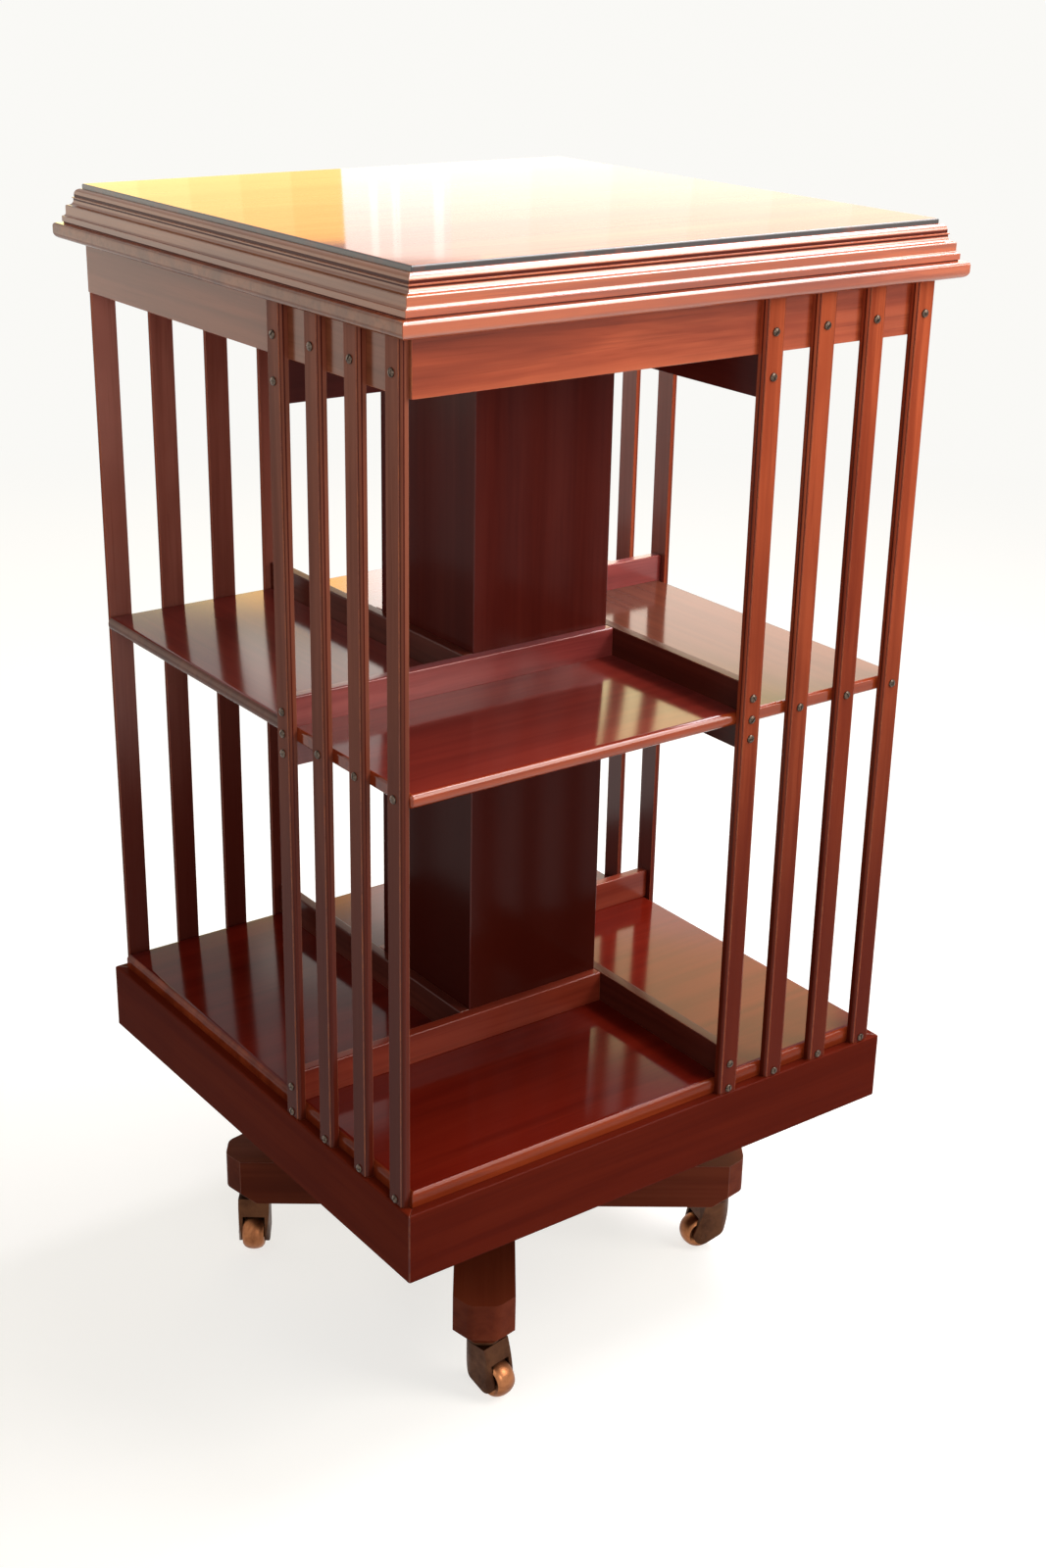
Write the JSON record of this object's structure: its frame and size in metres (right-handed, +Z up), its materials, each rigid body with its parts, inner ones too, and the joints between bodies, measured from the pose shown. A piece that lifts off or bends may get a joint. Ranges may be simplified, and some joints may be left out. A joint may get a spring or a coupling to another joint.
{
  "type": "revolving bookcase",
  "caption": "Square revolving bookcase with a moulded top, open book bays and upright slats on every face, turning on a spindle above crossed legs on castors.",
  "frame": {"origin": "on the floor, on the spindle's axis, at the middle of the bookcase's box", "axes": "+Z up along the spindle; the case's front face looks along -Y and its left face along -X at rest"},
  "size_m": [0.501, 0.501, 0.9303],
  "materials": {
    "mahogany_top": "french polished, high gloss",
    "mahogany_moulding": "french polished, gloss",
    "mahogany_frieze": "french polished, satin gloss",
    "mahogany_slat": "french polished, satin gloss",
    "mahogany_case": "french polished, gloss",
    "mahogany_shelf": "french polished, gloss",
    "mahogany_plinth": "french polished, satin gloss",
    "mahogany_base": "french polished, satin gloss",
    "screw_bronze": "bronzed steel, worn",
    "bearing_iron": "blackened iron",
    "spindle_steel": "turned steel",
    "castor_brass": "aged brass",
    "castor_wheel": "worn brass, brown patina"
  },
  "bodies": {
    "base": {"leg_lower": "mahogany_base", "leg_upper": "mahogany_base", "pillar": "mahogany_base", "spindle_flange": "bearing_iron", "spindle": "spindle_steel", "castor_plates": "castor_brass"},
    "case": {"top_panel": "mahogany_top", "edge_moulding_front": "mahogany_moulding", "edge_moulding_right": "mahogany_moulding", "edge_moulding_back": "mahogany_moulding", "edge_moulding_left": "mahogany_moulding", "nosing_board": "mahogany_moulding", "frieze_rail_front": "mahogany_frieze", "frieze_rail_right": "mahogany_frieze", "frieze_rail_back": "mahogany_frieze", "frieze_rail_left": "mahogany_frieze", "top_divider_front": "mahogany_case", "top_divider_right": "mahogany_case", "top_divider_back": "mahogany_case", "top_divider_left": "mahogany_case", "middle_divider_front": "mahogany_case", "middle_divider_right": "mahogany_case", "middle_divider_back": "mahogany_case", "middle_divider_left": "mahogany_case", "shelf_board_front": "mahogany_shelf", "shelf_board_right": "mahogany_shelf", "shelf_board_back": "mahogany_shelf", "shelf_board_left": "mahogany_shelf", "bottom_board": "mahogany_shelf", "bottom_lip_front": "mahogany_case", "bottom_lip_right": "mahogany_case", "bottom_lip_back": "mahogany_case", "bottom_lip_left": "mahogany_case", "plinth_board_front": "mahogany_plinth", "plinth_board_right": "mahogany_plinth", "plinth_board_back": "mahogany_plinth", "plinth_board_left": "mahogany_plinth", "slats_front": "mahogany_slat", "slats_right": "mahogany_slat", "slats_back": "mahogany_slat", "slats_left": "mahogany_slat", "column_board_front": "mahogany_case", "column_board_right": "mahogany_case", "column_board_back": "mahogany_case", "column_board_left": "mahogany_case", "slat_screws": "screw_bronze", "upper_bearing_cup": "bearing_iron", "lower_bearing_plate": "bearing_iron"},
    "castor_near": {"castor_horn_near": "castor_brass", "castor_axle_near": "spindle_steel"},
    "wheel_near": {"castor_wheel_near": "castor_wheel"},
    "castor_right": {"castor_horn_right": "castor_brass", "castor_axle_right": "spindle_steel"},
    "wheel_right": {"castor_wheel_right": "castor_wheel"},
    "castor_back": {"castor_horn_back": "castor_brass", "castor_axle_back": "spindle_steel"},
    "wheel_back": {"castor_wheel_back": "castor_wheel"},
    "castor_left": {"castor_horn_left": "castor_brass", "castor_axle_left": "spindle_steel"},
    "wheel_left": {"castor_wheel_left": "castor_wheel"}
  },
  "joints": [
    {"name": "case_spin", "type": "hinge", "parent": "base", "child": "case", "pos_m": [0, 0, 0.248], "axis": [0, 0, 1], "continuous": true},
    {"name": "castor_swivel_near", "type": "hinge", "parent": "base", "child": "castor_near", "pos_m": [-0.12137, -0.17015, 0.049], "axis": [0, 0, 1], "continuous": true},
    {"name": "wheel_spin_near", "type": "hinge", "parent": "castor_near", "child": "wheel_near", "pos_m": [-0.11876, -0.18492, 0.016], "axis": [0.9848, 0.1736, 0], "continuous": true},
    {"name": "castor_swivel_right", "type": "hinge", "parent": "base", "child": "castor_right", "pos_m": [0.17015, -0.12137, 0.049], "axis": [0, 0, 1], "continuous": true},
    {"name": "wheel_spin_right", "type": "hinge", "parent": "castor_right", "child": "wheel_right", "pos_m": [0.15566, -0.11748, 0.016], "axis": [-0.2588, -0.9659, 0], "continuous": true},
    {"name": "castor_swivel_back", "type": "hinge", "parent": "base", "child": "castor_back", "pos_m": [0.12137, 0.17015, 0.049], "axis": [0, 0, 1], "continuous": true},
    {"name": "wheel_spin_back", "type": "hinge", "parent": "castor_back", "child": "wheel_back", "pos_m": [0.11876, 0.18492, 0.016], "axis": [-0.9848, -0.1736, 0], "continuous": true},
    {"name": "castor_swivel_left", "type": "hinge", "parent": "base", "child": "castor_left", "pos_m": [-0.17015, 0.12137, 0.049], "axis": [0, 0, 1], "continuous": true},
    {"name": "wheel_spin_left", "type": "hinge", "parent": "castor_left", "child": "wheel_left", "pos_m": [-0.17897, 0.10923, 0.016], "axis": [0.809, -0.5878, 0], "continuous": true}
  ]
}
